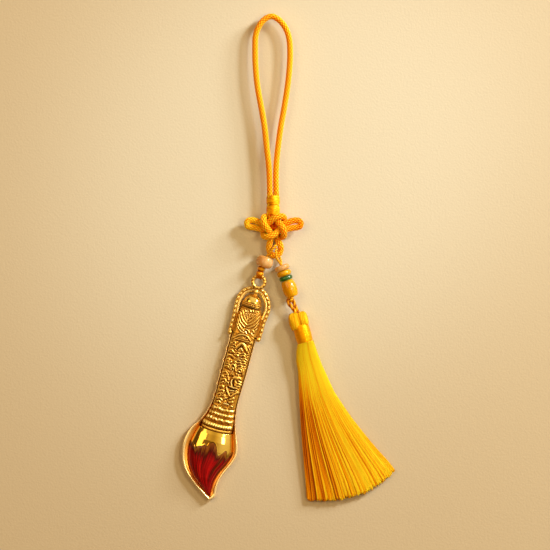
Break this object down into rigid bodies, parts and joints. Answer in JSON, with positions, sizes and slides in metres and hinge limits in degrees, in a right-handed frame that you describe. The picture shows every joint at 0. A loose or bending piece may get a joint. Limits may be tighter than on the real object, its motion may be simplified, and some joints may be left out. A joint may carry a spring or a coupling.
{
  "type": "pen charm",
  "caption": "Hanging charm: a braided cord loop and cloverleaf knot carry two beaded threads, one with a gilt writing-brush pendant, one with a silk tassel.",
  "frame": {"origin": "on the surface the charm lies on, in the middle of everything below the hanging loop", "axes": "+X to the right as seen from the front, +Y up towards the hanging loop, +Z out of the front, off the surface"},
  "size_m": [0.0894, 0.2042, 0.0086],
  "materials": {
    "cord": "braided orange-yellow cord",
    "silk": "glossy yellow silk thread",
    "thread": "fine golden thread",
    "gilt": "polished gilt, darkened in the hollows",
    "red_enamel": "glossy red enamel with dark streaks",
    "pale_stone": "polished, slightly translucent",
    "amber_stone": "polished, slightly translucent",
    "green_stone": "polished"
  },
  "bodies": {
    "hanger": {"hanging_loop": "cord", "loop_wrap_upper": "silk", "loop_wrap_lower": "silk", "knot": "cord"},
    "pen_string": {"pen_thread": "thread"},
    "pale_bead": {"pen_bead": "pale_stone"},
    "pen": {"pen_frame": "gilt", "pen_cap": "gilt", "pen_collar": "gilt", "pen_handle": "gilt", "pen_ferrule": "gilt", "pen_belly": "gilt", "pen_tuft": "red_enamel"},
    "tassel_string": {"tassel_thread": "thread"},
    "pale_disc": {"disc_pale": "pale_stone"},
    "amber_disc": {"disc_amber": "amber_stone"},
    "green_disc": {"disc_green": "green_stone"},
    "barrel": {"bead_barrel": "amber_stone"},
    "tassel_link": {"tassel_loop": "silk"},
    "tassel": {"tassel_head": "silk", "tassel_band": "silk", "tassel_skirt": "silk"}
  },
  "joints": [
    {"name": "pen_swing", "type": "hinge", "parent": "hanger", "child": "pen_string", "pos_m": [-0.00558, 0.04305, 0.0034], "axis": [0, 0, 1], "range_deg": [-60, 6]},
    {"name": "pen_bead_spin", "type": "hinge", "parent": "pen_string", "child": "pale_bead", "pos_m": [-0.0102, 0.03613, 0.0034], "axis": [0.342, 0.9397, 0], "continuous": true},
    {"name": "pen_tilt", "type": "hinge", "parent": "pen_string", "child": "pen", "pos_m": [-0.01208, 0.03002, 0.0031], "axis": [0.965, -0.2622, 0], "range_deg": [-80, 80]},
    {"name": "tassel_swing", "type": "hinge", "parent": "hanger", "child": "tassel_string", "pos_m": [-0.00542, 0.04158, 0.0034], "axis": [0, 0, 1], "range_deg": [-6, 60]},
    {"name": "disc_pale_spin", "type": "hinge", "parent": "tassel_string", "child": "pale_disc", "pos_m": [-0.00304, 0.03358, 0.0034], "axis": [-0.3486, 0.9373, 0], "continuous": true},
    {"name": "disc_amber_spin", "type": "hinge", "parent": "tassel_string", "child": "amber_disc", "pos_m": [-0.00221, 0.03133, 0.0034], "axis": [-0.3486, 0.9373, 0], "continuous": true},
    {"name": "disc_green_spin", "type": "hinge", "parent": "tassel_string", "child": "green_disc", "pos_m": [-0.00144, 0.02927, 0.0034], "axis": [-0.3486, 0.9373, 0], "continuous": true},
    {"name": "barrel_spin", "type": "hinge", "parent": "tassel_string", "child": "barrel", "pos_m": [0.00021, 0.02482, 0.0034], "axis": [-0.3486, 0.9373, 0], "continuous": true},
    {"name": "tassel_sway", "type": "hinge", "parent": "tassel_string", "child": "tassel_link", "pos_m": [0.00054, 0.01945, 0.0034], "axis": [0, 0, 1], "range_deg": [-15, 45]},
    {"name": "tassel_lift", "type": "hinge", "parent": "tassel_link", "child": "tassel", "pos_m": [0.00329, 0.01468, 0.0034], "axis": [0.9636, 0.2672, 0], "range_deg": [-60, 60]}
  ]
}
